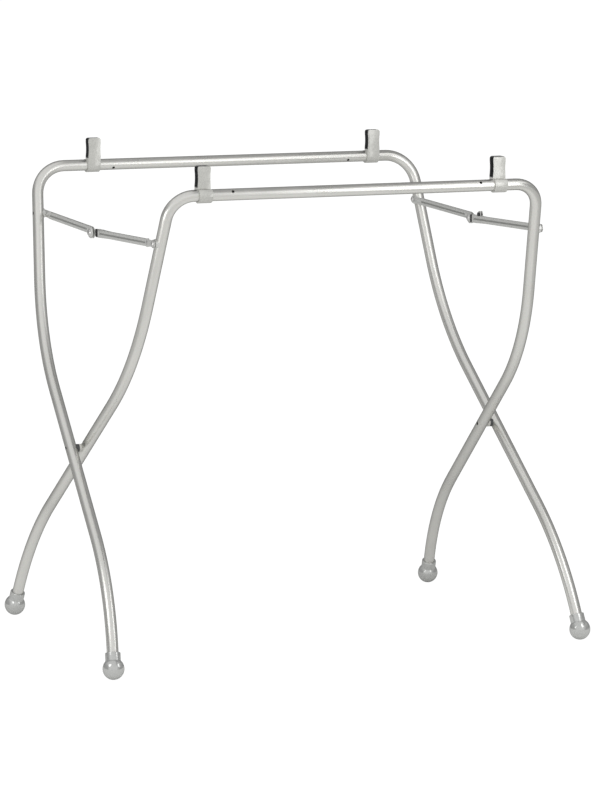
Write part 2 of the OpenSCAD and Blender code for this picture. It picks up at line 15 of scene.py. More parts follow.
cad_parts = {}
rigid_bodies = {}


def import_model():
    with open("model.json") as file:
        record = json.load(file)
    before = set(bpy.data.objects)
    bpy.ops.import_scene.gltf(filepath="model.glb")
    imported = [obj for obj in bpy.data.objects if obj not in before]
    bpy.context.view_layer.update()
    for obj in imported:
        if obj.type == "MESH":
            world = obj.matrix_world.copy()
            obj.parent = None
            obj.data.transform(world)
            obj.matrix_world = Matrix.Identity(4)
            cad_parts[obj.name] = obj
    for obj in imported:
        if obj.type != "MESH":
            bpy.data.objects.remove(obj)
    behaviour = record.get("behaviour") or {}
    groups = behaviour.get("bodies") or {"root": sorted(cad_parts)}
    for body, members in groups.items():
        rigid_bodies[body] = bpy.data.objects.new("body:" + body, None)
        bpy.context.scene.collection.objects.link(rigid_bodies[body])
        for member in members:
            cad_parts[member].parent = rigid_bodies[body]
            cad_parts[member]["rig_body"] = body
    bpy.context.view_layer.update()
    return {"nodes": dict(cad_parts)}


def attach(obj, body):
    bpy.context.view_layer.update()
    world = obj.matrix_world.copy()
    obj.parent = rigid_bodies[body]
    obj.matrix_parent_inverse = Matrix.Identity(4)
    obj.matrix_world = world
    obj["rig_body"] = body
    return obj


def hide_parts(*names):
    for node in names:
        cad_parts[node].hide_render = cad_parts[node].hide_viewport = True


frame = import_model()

MM = 0.001
SIDES = ("left", "right")
nodes = frame["nodes"]

# %% [markdown]
# ## Colours and nodes
# A colour picked from a screen is sRGB, and Blender's shaders want it linear, so one
# function turns a hex value round. A second one adds a shader node with its settings and
# its links, a third starts a finish, and a fourth joins its patterns to the shader. What is
# the same all over a surface is set on the shader itself, so that it survives an export.


# %% Helpers for materials
def colour(hex_value):
    """Linear RGBA from an sRGB hex value such as "#c3c3bf"."""
    parts = [int(hex_value[i : i + 2], 16) / 255 for i in (1, 3, 5)]
    linear = [c / 12.92 if c <= 0.04045 else ((c + 0.055) / 1.055) ** 2.4 for c in parts]
    return (*linear, 1.0)


def add_node(tree, kind, inputs=None, **settings):
    """Adds a node. Each input, by name or number, gets a value or another node's output."""
    node = tree.nodes.new(kind)
    for name, value in settings.items():
        setattr(node, name, value)
    for name, value in (inputs or {}).items():
        if isinstance(value, bpy.types.NodeSocket):
            tree.links.new(value, node.inputs[name])
        else:
            node.inputs[name].default_value = value
    return node


def new_finish(name):
    """A new material, with its tree, its Principled shader and its Object coordinates."""
    made = bpy.data.materials.new(name)
    made.use_nodes = True
    tree = made.node_tree
    tree.nodes.clear()
    shader = add_node(tree, "ShaderNodeBsdfPrincipled")
    add_node(tree, "ShaderNodeOutputMaterial", {"Surface": shader.outputs["BSDF"]})
    place = add_node(tree, "ShaderNodeTexCoord").outputs["Object"]
    return made, tree, shader, place


# A Mix node keeps one set of sockets for each type: these are the ones for colours.
MIX_A, MIX_B, MIX_RESULT = 6, 7, 2


def dress(tree, shader, tone, gloss, relief, all_over):
    """Links the patterns to the shader, and sets the values that are the same all over it."""
    tree.links.new(tone.outputs[MIX_RESULT], shader.inputs["Base Color"])
    tree.links.new(gloss.outputs["Result"], shader.inputs["Roughness"])
    tree.links.new(relief.outputs["Normal"], shader.inputs["Normal"])
    for name, value in all_over.items():
        shader.inputs[name].default_value = value


print("a mid grey, #808080, is", round(colour("#808080")[0], 3), "in linear light")

# %% [markdown]
# ## Silver lacquered tube
# The frames are cold-drawn steel tube, about 20 mm across, sprayed with a satin silver
# lacquer. Its metal flake gives a metallic sheen, and the spray leaves a faint orange
# peel of a couple of millimetres. Fine draw lines could break up the sheen as well, but
# at this distance only the peel and a slow drift in tone show.

# %% Silver lacquer
FLAKE_SIZE = 1.1 * MM  # real flake is far finer: this is as coarse as it needs to show
SPARKLE = 0.1
PEEL_SIZE, PEEL_DEPTH = 2.5 * MM, 0.05 * MM
DRIFT_SIZE = 80 * MM
FLAKE_RIM = (0.2, 0.2, 0.2, 1.0)  # flakes lie flat in the film, so it darkens where it is seen edge on

lacquer, tree, shader, place = new_finish("silver_lacquer_on_steel_tube")
drift = add_node(tree, "ShaderNodeTexNoise", {"Vector": place, "Scale": 1 / DRIFT_SIZE, "Detail": 4.0})
flake = add_node(tree, "ShaderNodeTexVoronoi", {"Vector": place, "Scale": 1 / FLAKE_SIZE})
peel = add_node(tree, "ShaderNodeTexNoise", {"Vector": place, "Scale": 1 / PEEL_SIZE, "Detail": 2.0})
tone = add_node(tree, "ShaderNodeMix", {
    "Factor": drift.outputs["Fac"], MIX_A: colour("#d3d3cf"), MIX_B: colour("#e2e1dd")}, data_type="RGBA")
sparkle = add_node(tree, "ShaderNodeMix", {
    "Factor": SPARKLE, MIX_A: tone.outputs[MIX_RESULT], MIX_B: flake.outputs["Color"]},
    data_type="RGBA", blend_type="SOFT_LIGHT")
gloss = add_node(tree, "ShaderNodeMapRange", {
    "Value": drift.outputs["Fac"], "From Min": 0.3, "From Max": 0.7, "To Min": 0.25, "To Max": 0.33})
relief = add_node(tree, "ShaderNodeBump", {
    "Height": peel.outputs["Fac"], "Strength": 0.25, "Distance": PEEL_DEPTH})
dress(tree, shader, sparkle, gloss, relief, {
    "Metallic": 0.9, "Specular Tint": FLAKE_RIM, "Coat Weight": 0.3, "Coat Roughness": 0.1})
print("lacquer:", lacquer.name)

# %% [markdown]
# ## Moulded plastics
# The feet are a grey plastic filled with fine metal flake under a glossy skin. The clips
# are paler with less flake. Their tabs get a dark grey painted shade at the sides, on top
# and in their hollows. Moulding leaves a fine texture and a slight cloudiness where the
# melt cooled unevenly, and use leaves scuffs. One function makes them all, since only the
# numbers differ.


# %% Moulded plastic
CLOUD_SIZE, SCUFF_SIZE = 14 * MM, 5 * MM
SCUFFED = 0.14  # how much rougher a scuffed place is
NO_TINT = (1, 1, 1, 1)


def moulded_plastic(name, dark, light, roughness, grain_size, grain_depth, flake=0.0, skin=0.0):
    """A plastic between two tones, with its roughness and grain, its share of flake and its skin."""
    made, tree, shader, place = new_finish(name)
    cloud = add_node(tree, "ShaderNodeTexNoise", {"Vector": place, "Scale": 1 / CLOUD_SIZE, "Detail": 5.0})
    grain = add_node(tree, "ShaderNodeTexNoise", {"Vector": place, "Scale": 1 / grain_size, "Detail": 3.0})
    scuff = add_node(tree, "ShaderNodeTexNoise", {
        "Vector": place, "Scale": 1 / SCUFF_SIZE, "Detail": 8.0, "Roughness": 0.7})
    tone = add_node(tree, "ShaderNodeMix", {
        "Factor": cloud.outputs["Fac"], MIX_A: colour(dark), MIX_B: colour(light)}, data_type="RGBA")
    gloss = add_node(tree, "ShaderNodeMapRange", {
        "Value": scuff.outputs["Fac"], "From Min": 0.35, "From Max": 0.75,
        "To Min": roughness, "To Max": roughness + SCUFFED})
    relief = add_node(tree, "ShaderNodeBump", {
        "Height": grain.outputs["Fac"], "Strength": 0.3, "Distance": grain_depth})
    dress(tree, shader, tone, gloss, relief, {
        "Metallic": flake, "Specular Tint": FLAKE_RIM if flake else NO_TINT, "Coat Weight": skin})
    return made


foot_plastic = moulded_plastic(
    "flake_filled_polypropylene", "#bcbdbb", "#cdcecc", 0.12, 0.9 * MM, 0.02 * MM, flake=0.6, skin=1.0)
clip_plastic = moulded_plastic(
    "pale_silver_abs", "#cdcdc8", "#dcdcd7", 0.22, 0.7 * MM, 0.008 * MM, flake=0.15, skin=0.8)
# dark grey painted shade for the sides, tops and hollows of the clips' tabs
tab_painted_shade = moulded_plastic("clip_tab_dark_grey_painted_shade", "#3c3d3e", "#4b4c4d", 0.4, 0.8 * MM, 0.03 * MM)
dark_nylon = moulded_plastic("dark_grey_nylon", "#434446", "#525355", 0.4, 0.8 * MM, 0.04 * MM)
pale_nylon = moulded_plastic("natural_nylon", "#c9c8c2", "#dddcd7", 0.35, 0.8 * MM, 0.03 * MM)
black_rubber = moulded_plastic("black_thermoplastic_rubber", "#0d0d0e", "#19191b", 0.5, 0.7 * MM, 0.05 * MM)
knob_plastic = moulded_plastic("charcoal_abs", "#242527", "#34353a", 0.3, 0.7 * MM, 0.04 * MM)
print("plastics:", foot_plastic.name, clip_plastic.name, tab_painted_shade.name)

# %% [markdown]
# ## Bare metals
# The stays are pressed from zinc-plated strip, whose rolling lines run along its length,
# and the rivets are nickel-plated. The flanks of the groove pressed along a stay get a
# darker zinc as painted shade. Squeezing the coordinates of a noise pattern along one axis
# stretches it into rolling lines. The stays lie almost along Y, so Object coordinates do
# for that.


# %% Zinc-plated strip and rivets
BLOOM_SIZE = 9 * MM
ALONG_X, ALONG_Y, EVEN = (0.1, 1, 1), (1, 0.04, 1), (1, 1, 1)  # which way the lines run
PASSIVATED = 0.6  # metallic share: the passivated plating has a pale bloom


def bare_metal(name, dark, light, low_gloss, high_gloss, stretch, line_size, depth, metallic=1.0):
    """A metal between two tones and two roughnesses, with lines of a size and depth."""
    made, tree, shader, place = new_finish(name)
    along = add_node(tree, "ShaderNodeMapping", {"Vector": place, "Scale": stretch})
    lines = add_node(tree, "ShaderNodeTexNoise", {
        "Vector": along.outputs["Vector"], "Scale": 1 / line_size, "Detail": 4.0})
    bloom = add_node(tree, "ShaderNodeTexNoise", {"Vector": place, "Scale": 1 / BLOOM_SIZE, "Detail": 6.0})
    tone = add_node(tree, "ShaderNodeMix", {
        "Factor": bloom.outputs["Fac"], MIX_A: colour(dark), MIX_B: colour(light)}, data_type="RGBA")
    gloss = add_node(tree, "ShaderNodeMapRange", {
        "Value": lines.outputs["Fac"], "From Min": 0.3, "From Max": 0.7,
        "To Min": low_gloss, "To Max": high_gloss})
    relief = add_node(tree, "ShaderNodeBump", {
        "Height": lines.outputs["Fac"], "Strength": 0.3, "Distance": depth})
    dress(tree, shader, tone, gloss, relief, {"Metallic": metallic})
    return made


zinc_strip = bare_metal(
    "zinc_plated_steel_strip", "#d2d3d1", "#e6e6e3", 0.24, 0.36, ALONG_Y, 1.2 * MM, 0.03 * MM, PASSIVATED)
# a darker zinc, painted shade on the flanks of a stay's pressed groove
groove_painted_shade = bare_metal(
    "darker_zinc_painted_as_shade_in_a_groove", "#a3a4a2", "#b0b1ad", 0.4, 0.5, ALONG_Y, 1.2 * MM, 0.03 * MM, PASSIVATED)
nickel = bare_metal("nickel_plated_steel", "#c4c4c3", "#dddcda", 0.24, 0.34, EVEN, 1.5 * MM, 0.01 * MM)
pin_steel = bare_metal("plain_steel_pin", "#7b7c7e", "#8f9092", 0.3, 0.4, ALONG_X, 1.0 * MM, 0.02 * MM)
print("metals:", zinc_strip.name, nickel.name, pin_steel.name)

# %% [markdown]
# ## Finishes on the CAD parts
# A CAD part whose shape is right keeps its mesh and only changes its material.

# %% Give every CAD part its finish
finish_of = {
    "outer_frame_tube": lacquer,
    "inner_frame_tube": lacquer,
    "foot": foot_plastic,
    "tub_clip": clip_plastic,
    "pivot_rivet": pin_steel,
    "outer_pivot_washer": dark_nylon,
    "inner_pivot_washer": pale_nylon,
    "rear_anchor_washer": zinc_strip,
    "front_anchor_washer": zinc_strip,
    "rear_link": zinc_strip,
    "front_link": zinc_strip,
    "rear_anchor_rivet": nickel,
    "front_anchor_rivet": nickel,
    "knuckle_rivet": nickel,
    "stop_pad": black_rubber,
    "lock_knob": knob_plastic,
}
for name, node in nodes.items():
    start = max((key for key in finish_of if name.startswith(key)), key=len)
    node.data.materials.clear()
    node.data.materials.append(finish_of[start])
print(len(nodes), "CAD parts have a finish")

# %% [markdown]
# ## Bent tubes
# The CAD tubes are cut into loose facets, and a glossy tube shows every one of them. So
# each frame is drawn again the way a tube bender makes it: a ring of edges is pushed
# straight, swung round a bend, pushed on, and so down to the foot. The sizes are the CAD
# model's own. A wall, and the holes through it, follow once the skin is whole.

# %% Sizes shared with the CAD model
TUBE_R, TUBE_WALL = 10 * MM, 1.2 * MM
SPLAY = math.radians(5.25)
CROSS_LEAN, TOP_LEAN, FOOT_LEAN = (math.radians(a) for a in (49.6, 17.6, 21.5))
UPPER_STRAIGHT, UPPER_R, TOP_STRAIGHT = 137 * MM, 398 * MM, 201 * MM
LOWER_STRAIGHT, LOWER_R, FOOT_STRAIGHT = 196 * MM, 428 * MM, 36 * MM
BALL_R, SOLE_D, TUBE_END_GAP = 18.6 * MM, 9 * MM, 6 * MM
OUTER_HALF, LEG_GAP = 366 * MM, 7 * MM
INNER_HALF = OUTER_HALF - (2 * TUBE_R + LEG_GAP) / math.cos(SPLAY)
CORNER_R = {"outer": 55 * MM, "inner": 45 * MM}
STAY_DROP = 80.5 * MM  # from the bars down to the rivets at the stays' ends

up_rise = UPPER_STRAIGHT * math.cos(CROSS_LEAN) + UPPER_R * (math.sin(CROSS_LEAN) - math.sin(TOP_LEAN))
up_rise += TOP_STRAIGHT * math.cos(TOP_LEAN)
up_reach = UPPER_STRAIGHT * math.sin(CROSS_LEAN) + UPPER_R * (math.cos(TOP_LEAN) - math.cos(CROSS_LEAN))
up_reach += TOP_STRAIGHT * math.sin(TOP_LEAN)
down_drop = LOWER_STRAIGHT * math.cos(CROSS_LEAN) + LOWER_R * (math.sin(CROSS_LEAN) - math.sin(FOOT_LEAN))
down_drop += FOOT_STRAIGHT * math.cos(FOOT_LEAN)
down_reach = LOWER_STRAIGHT * math.sin(CROSS_LEAN) + LOWER_R * (math.cos(FOOT_LEAN) - math.cos(CROSS_LEAN))
down_reach += FOOT_STRAIGHT * math.sin(FOOT_LEAN)
ball_z = math.sqrt(BALL_R**2 - SOLE_D**2 / 4)
pivot_z = ball_z + down_drop * math.cos(SPLAY)
bar_z = pivot_z + up_rise * math.cos(SPLAY)
anchor_y = up_reach - STAY_DROP / math.cos(SPLAY) * math.tan(TOP_LEAN)
anchor_z = bar_z - STAY_DROP
print("crossing, bars:", round(pivot_z / MM, 1), round(bar_z / MM, 1), "mm up")

# %% Directions along a frame
BAR_WAY = Vector((1, 0, 0))


def leg_way(lean):
    """The way down a leg, for its lean from upright seen from the side."""
    return Vector((math.sin(SPLAY) * math.cos(lean), -math.sin(lean), -math.cos(SPLAY) * math.cos(lean)))


def leg_x(half, z):
    """How far out a leg's centre line is at a height."""
    return half + (bar_z - z) * math.tan(SPLAY)


def corner_tangent(corner_r):
    """How much of the bar, and of the leg's top, a frame's corner takes up."""
    return corner_r * math.tan(BAR_WAY.angle(leg_way(TOP_LEAN)) / 2)


print("a corner takes", [round(corner_tangent(r) / MM, 1) for r in CORNER_R.values()], "mm of each bar's end")


# %% Helpers for meshes
MERGE = 0.01 * MM  # points nearer than this are one


def finished_mesh(edit, name):
    """Turns a bmesh into a mesh and frees it."""
    mesh = bpy.data.meshes.new(name)
    edit.to_mesh(mesh)
    edit.free()
    return mesh


def new_object(name, data):
    """An object for a mesh, a lamp or a camera, linked to the scene."""
    made = bpy.data.objects.new(name, data)
    bpy.context.scene.collection.objects.link(made)
    return made


def everything(edit):
    """All the vertices, edges and faces of a bmesh."""
    return edit.verts[:] + edit.edges[:] + edit.faces[:]


# %% Ring, push and bend
RING_SIDES = 48
PUSH_STEP, BEND_STEP, FEWEST_BEND_STEPS = 12 * MM, 9 * MM, 12


def edges_of(geometry):
    return [g for g in geometry if isinstance(g, bmesh.types.BMEdge)]


def push(edit, ring, step):
    """Extrudes a ring of edges by one step and returns the new ring."""
    made = bmesh.ops.extrude_edge_only(edit, edges=ring)["geom"]
    fresh = {g for g in made if isinstance(g, bmesh.types.BMVert)}
    bmesh.ops.translate(edit, verts=list(fresh), vec=step)
    return [e for e in edges_of(made) if fresh.issuperset(e.verts)]


def half_frame(edit, half, corner_r):
    """Draws a frame's skin from the middle of its rear bar to the end of one leg."""
    tangent = corner_tangent(corner_r)
    ways = [BAR_WAY] + [leg_way(a) for a in (TOP_LEAN, CROSS_LEAN, FOOT_LEAN)]
    feeds = (half - tangent, TOP_STRAIGHT - tangent,
             UPPER_STRAIGHT + LOWER_STRAIGHT, FOOT_STRAIGHT - TUBE_END_GAP)
    radii = (corner_r, UPPER_R, LOWER_R, None)
    at = Vector((0, up_reach, bar_z))
    made = bmesh.ops.create_circle(edit, segments=RING_SIDES, radius=TUBE_R,
                                   matrix=Matrix.Translation(at) @ Matrix.Rotation(math.pi / 2, 4, "Y"))
    ring = list({e for v in made["verts"] for e in v.link_edges})
    for i, (way, feed, radius) in enumerate(zip(ways, feeds, radii)):
        pieces = math.ceil(feed / PUSH_STEP)
        for _ in range(pieces):
            ring = push(edit, ring, way * (feed / pieces))
        at += way * feed
        if radius:
            axis = way.cross(ways[i + 1]).normalized()
            centre = at + axis.cross(way) * radius
            turn = way.angle(ways[i + 1])
            made = bmesh.ops.spin(edit, geom=ring, cent=centre, axis=axis, angle=turn,
                                  steps=max(FEWEST_BEND_STEPS, math.ceil(turn * radius / BEND_STEP)))
            ring = edges_of(made["geom_last"])
            at = centre + Matrix.Rotation(turn, 3, axis) @ (at - centre)
    return at


# %% [markdown]
# The rings make one half of the rear frame. Its mirror image is the other half, and the
# front frame is the rear one mirrored again. Holes are cut with short rods, all at once.


# %% Drills
PEG_HOLE_R, PEG_TILT = 2.5 * MM, math.radians(125)
ROD_SIDES = 32


def rod(edit, at, turn, radius, length):
    """Adds a round rod to a bmesh, with its middle at a place."""
    bmesh.ops.create_cone(edit, cap_ends=True, segments=ROD_SIDES, radius1=radius, radius2=radius,
                          depth=length, matrix=Matrix.Translation(at) @ turn)


def drill_for(half, facing, holes, pegs):
    """One object with a rod for each of a frame's holes: across its legs, and through its bar."""
    edit = bmesh.new()
    for y, z, out, radius in holes:
        for side in (-1, 1):
            at = Vector((side * (leg_x(half, z) + out * TUBE_R), facing * y, z))
            rod(edit, at, Matrix.Rotation(math.pi / 2, 4, "Y"), radius, 2 * TUBE_R)
    for x in pegs:
        at = Vector((x, facing * up_reach, bar_z))
        rod(edit, at, Matrix.Rotation(facing * PEG_TILT, 4, "X"), PEG_HOLE_R, 4 * TUBE_R)
    return new_object("drill", finished_mesh(edit, "drill"))


# %% A frame's tube
def frame_tube(which, half, front, holes, pegs):
    """A frame's tube: its skin, then a wall inside it, then its holes."""
    edit = bmesh.new()
    end = half_frame(edit, half, CORNER_R[which])
    bmesh.ops.mirror(edit, geom=everything(edit), axis="X", merge_dist=MERGE)
    bmesh.ops.remove_doubles(edit, verts=edit.verts, dist=MERGE)
    if front:
        bmesh.ops.scale(edit, vec=(1, -1, 1), verts=edit.verts)
    bmesh.ops.recalc_face_normals(edit, faces=edit.faces)
    tube = new_object(which + "_bent_tube", finished_mesh(edit, which + "_bent_tube"))
    drill = drill_for(half, -1 if front else 1, holes, pegs)

    wall = tube.modifiers.new("wall", "SOLIDIFY")
    wall.thickness, wall.offset = TUBE_WALL, -1
    cut = tube.modifiers.new("holes", "BOOLEAN")
    cut.operation, cut.object, cut.solver = "DIFFERENCE", drill, "EXACT"
    drilled = bpy.data.meshes.new_from_object(tube.evaluated_get(bpy.context.evaluated_depsgraph_get()))
    tube.modifiers.clear()
    tube.data = drilled
    bpy.data.objects.remove(drill)
    drilled.shade_smooth()
    drilled.set_sharp_from_angle(angle=math.radians(40))
    drilled.materials.clear()
    drilled.materials.append(lacquer)
    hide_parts(which + "_frame_tube")
    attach(tube, which + "_frame")
    print(which, "tube:", len(drilled.polygons), "faces, leg ends at", [round(c / MM, 1) for c in end])


# %% Peg holes under the clips
CLIP_W = 23.5 * MM
CLIP_END = {"outer": 17.8 * MM, "inner": 5.9 * MM}  # bare bar between a corner and its clip
CLIP_STEP = {"outer": 24.5 * MM, "inner": 15 * MM}  # how much nearer the middle the other clip is
NEAR_SPARE, FAR_SPARE = 38 * MM, 49 * MM  # from a clip to the spare peg hole beside it


def peg_places(which, half):
    """Holes along a bar: under its nearer clip and beside it, then the same for its further one."""
    far = half - corner_tangent(CORNER_R[which]) - CLIP_END[which] - CLIP_W / 2
    near = far - CLIP_STEP[which]
    return near, near - NEAR_SPARE, -far, FAR_SPARE - far


# %% Both frames
PIVOT_SEAT, PIVOT_BORE = 3.05 * MM, 3.075 * MM  # the crossing's rivet is fixed in one, and turns in the other
ANCHOR_SEAT, ACCESS_HOLE = 2.55 * MM, 3.25 * MM  # a stay's rivet, and the way in for the tool that closes it
INWARD, OUTWARD = -1, 1  # which wall of the leg

frame_tube("outer", OUTER_HALF, False,
           holes=[(0, pivot_z, INWARD, PIVOT_SEAT), (0, pivot_z, OUTWARD, ACCESS_HOLE),
                  (anchor_y, anchor_z, INWARD, ANCHOR_SEAT), (anchor_y, anchor_z, OUTWARD, ACCESS_HOLE)],
           pegs=[-x for x in peg_places("outer", OUTER_HALF)])
frame_tube("inner", INNER_HALF, True,
           holes=[(0, pivot_z, OUTWARD, PIVOT_BORE), (0, pivot_z, INWARD, ACCESS_HOLE),
                  (anchor_y, anchor_z, OUTWARD, ANCHOR_SEAT)],
           pegs=peg_places("inner", INNER_HALF))

# %% [markdown]
# ## Ball feet
# A foot is round about the end of its tube, so half of its section is spun once round
# that line. Then a flat is cut where the ball bears on the floor.

# %% Spun feet
COLLAR_R, COLLAR_TOP, LIP_R, SOCKET_R = 13.25 * MM, BALL_R + 8.5 * MM, 1.2 * MM, 10.05 * MM
COLLAR_STRAIGHT = 5 * MM
SPIN_STEPS = 56
neck = math.sqrt(BALL_R**2 - COLLAR_R**2)


def arc(centre_r, centre_z, radius, start, stop, count):
    """Points of an arc in the plane of radius and height, with angles from the radius axis."""
    angles = (math.radians(start + (stop - start) * i / count) for i in range(count + 1))
    return [(centre_r + radius * math.cos(a), centre_z + radius * math.sin(a)) for a in angles]


foot_section = [(0, -BALL_R)] + arc(0, 0, BALL_R, -89, math.degrees(math.asin(neck / BALL_R)), 40)
foot_section += [(COLLAR_R, neck + COLLAR_STRAIGHT)]
foot_section += arc(COLLAR_R - LIP_R, COLLAR_TOP - LIP_R, LIP_R, 0, 90, 6)
foot_section += [(SOCKET_R, COLLAR_TOP), (SOCKET_R, TUBE_END_GAP), (0, TUBE_END_GAP)]


def spun_foot(name, half, front, side, body):
    """Spins a foot about the end of its tube, and cuts the flat that it stands on."""
    edit = bmesh.new()
    points = [edit.verts.new((r, 0, z)) for r, z in foot_section]
    edges = [edit.edges.new(pair) for pair in zip(points, points[1:])]
    bmesh.ops.spin(edit, geom=points + edges, cent=(0, 0, 0), axis=(0, 0, 1), angle=2 * math.pi,
                   steps=SPIN_STEPS, use_merge=True)
    bmesh.ops.remove_doubles(edit, verts=edit.verts, dist=MERGE)
    # The leg's own line: leaning back up towards the crossing, and inwards by the splay.
    turn = Matrix.Rotation(-SPLAY, 4, "Y") @ Matrix.Rotation(-FOOT_LEAN, 4, "X")
    centre = Vector((half + (up_rise + down_drop) * math.sin(SPLAY), -down_reach, ball_z))
    bmesh.ops.transform(edit, matrix=Matrix.Translation(centre) @ turn, verts=edit.verts)
    bmesh.ops.scale(edit, vec=(side, 1 if front else -1, 1), verts=edit.verts)
    cut = bmesh.ops.bisect_plane(edit, geom=everything(edit), plane_co=(0, 0, 0), plane_no=(0, 0, -1),
                                 clear_outer=True)
    bmesh.ops.edgeloop_fill(edit, edges=edges_of(cut["geom_cut"]))
    bmesh.ops.recalc_face_normals(edit, faces=edit.faces)
    mesh = finished_mesh(edit, name + "_spun")
    mesh.shade_smooth()
    mesh.set_sharp_from_angle(angle=math.radians(30))
    mesh.materials.append(foot_plastic)
    foot = new_object(name + "_spun", mesh)
    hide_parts(name)
    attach(foot, body)


for end, half, body in (("front", OUTER_HALF, "outer_frame"), ("rear", INNER_HALF, "inner_frame")):
    for side_name, side in zip(SIDES, (-1, 1)):
        spun_foot(f"foot_{end}_{side_name}", half, end == "front", side, body)

# %% [markdown]
# ## Rounded edges
# A pressed or moulded part has no razor edges: its corners catch a thin line of light.
# The CAD mesh is loose triangles, so a copy is merged and its flat faces are joined
# before a bevel rounds the edges. The copy then stands for the CAD part.


# %% A rounded copy of a CAD part
CAD_MERGE = 0.005 * MM
FLAT_WITHIN = math.radians(1)


def rounded_copy(node_name, width, segments=2, sharper_than=35):
    """Rounds the edges of a copy of a CAD part, which then stands for the part."""
    mesh = nodes[node_name].data.copy()
    edit = bmesh.new()
    edit.from_mesh(mesh)
    bmesh.ops.remove_doubles(edit, verts=edit.verts, dist=CAD_MERGE)
    bmesh.ops.dissolve_limit(edit, angle_limit=FLAT_WITHIN, verts=edit.verts, edges=edit.edges)
    edit.to_mesh(mesh)
    edit.free()
    piece = new_object(node_name + "_rounded", mesh)
    mesh.shade_smooth()
    rounding = piece.modifiers.new("rounding", "BEVEL")
    rounding.width = width
    rounding.segments = segments
    rounding.limit_method = "ANGLE"
    rounding.angle_limit = math.radians(sharper_than)
    rounding.harden_normals = True
    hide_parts(node_name)
    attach(piece, nodes[node_name]["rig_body"])
    return piece


# %% [markdown]
# ## Painted shade, and pips
# Some parts get a second material on some faces. A clip's tab gets painted shade at its
# sides, on top and in its hollow, a stay's link gets painted shade on the flanks of the
# groove pressed along it, and a front link has a plated pip beside its rivet. Their
# shapes are in the CAD parts, so it is enough to give some faces of the copy a second
# material. A face is picked by where it lies and which way it points.

# %% Painted shade on a clip's tab
SADDLE_R, TAB_DEPTH, TAB_WALL = 13 * MM, 14.5 * MM, 1.6 * MM
HOLLOW_SLACK = TAB_WALL / 4


def paint_tab_shade(clip, facing):
    """Paints shade on a tab: a dark grey at its sides, on top and in its hollow."""
    clip.data.materials.append(tab_painted_shade)
    edit = bmesh.new()
    edit.from_mesh(clip.data)
    # The saddle stays pale, so the faces that it shares with the tab are cut in two.
    bmesh.ops.bisect_plane(edit, geom=everything(edit), plane_co=(0, 0, bar_z + SADDLE_R), plane_no=(0, 0, 1))
    edit.to_mesh(clip.data)
    edit.free()
    nearest = SADDLE_R - TAB_DEPTH + TAB_WALL - HOLLOW_SLACK
    furthest = SADDLE_R - TAB_WALL + HOLLOW_SLACK
    for face in clip.data.polygons:
        corners = [clip.data.vertices[i].co for i in face.vertices]
        towards_tub = [up_reach - facing * c.y for c in corners]
        in_tab = min(c.z for c in corners) > bar_z + SADDLE_R - MERGE
        in_hollow = nearest < min(towards_tub) and max(towards_tub) < furthest
        at_side_or_top = abs(face.normal.y) < 0.5
        # the tab's sides, top and hollow get the dark grey painted shade
        if in_tab and (in_hollow or at_side_or_top):
            face.material_index = 1


# %% Painted shade in a link's groove, and the plated pip of a link
FLANK_LEAST, FLANK_MOST, FLANK_UPRIGHT = 0.8, 0.95, 0.3  # how far a flank faces along X, and along Z
PIP_REACH, PIP_DROP, PIP_R, PIP_RISE = 30 * MM, 1.1 * MM, 4 * MM, 1.5 * MM
PIP_SHARE = 0.98  # of the pip's rise, from its top down


def paint_groove_shade(link):
    """Paints shade on the flanks of a link's pressed groove, which lean across the strip, with a darker zinc.
    """
    link.data.materials.append(groove_painted_shade)
    for face in link.data.polygons:
        if FLANK_LEAST < abs(face.normal.x) < FLANK_MOST and abs(face.normal.z) > FLANK_UPRIGHT:
            # the groove's flanks get the darker zinc as painted shade
            face.material_index = 1


def plate_pip(link):
    """Plates a front link's pip like the rivets: the faces that stand proud of the link's flat side."""
    link.data.materials.append(nickel)
    proud = max(abs(v.co.x) for v in link.data.vertices) - PIP_RISE * PIP_SHARE
    for face in link.data.polygons:
        beside = math.hypot(face.center.y + anchor_y - PIP_REACH, face.center.z - anchor_z + PIP_DROP)
        if abs(face.center.x) > proud and beside < PIP_R:
            face.material_index = 2


# %% Clips, links, pads and knob
CLIP_EDGE, STRIP_EDGE, PAD_EDGE, KNOB_EDGE = 0.7 * MM, 0.25 * MM, 0.4 * MM, 0.6 * MM

for bar in ("rear", "front"):
    for side in SIDES:
        clip = rounded_copy(f"tub_clip_{bar}_{side}", CLIP_EDGE, segments=3)
        paint_tab_shade(clip, 1 if bar == "rear" else -1)
        link = rounded_copy(f"{bar}_link_{side}", STRIP_EDGE, sharper_than=20)
        paint_groove_shade(link)
        if bar == "front":
            plate_pip(link)
for side in SIDES:
    rounded_copy(f"stop_pad_{side}", PAD_EDGE)
rounded_copy("lock_knob_right", KNOB_EDGE, segments=3)

# %% [markdown]
# ## The camera
# The camera stands where the photograph was taken from: seven metres away, in front and
# to the left, a little above the bars, with a long lens.

# %% Camera
AIM_HEIGHT = 0.430
AZIMUTH, ELEVATION, ROLL = (math.radians(a) for a in (23.654, 8.642, 0.434))
DISTANCE, SHIFT_RIGHT, SHIFT_UP = 7.1243, 0.02018, -0.02108
FOCAL_LENGTH = 181.83  # mm, on Blender's 36 mm sensor
look = Vector((math.sin(AZIMUTH) * math.cos(ELEVATION), math.cos(AZIMUTH) * math.cos(ELEVATION),
               -math.sin(ELEVATION)))
level_right = look.cross(Vector((0, 0, 1))).normalized()
level_up = level_right.cross(look)
right = level_right * math.cos(ROLL) + level_up * math.sin(ROLL)
up = level_up * math.cos(ROLL) - level_right * math.sin(ROLL)

camera = new_object("camera", bpy.data.cameras.new("camera"))
camera.data.lens = FOCAL_LENGTH
place_at = Vector((0, 0, AIM_HEIGHT)) - look * DISTANCE + right * SHIFT_RIGHT + up * SHIFT_UP
camera.matrix_world = Matrix.Translation(place_at) @ Matrix((right, up, -look)).transposed().to_4x4()
bpy.context.scene.camera = camera
print("the camera stands at", [round(c, 2) for c in place_at], "m")

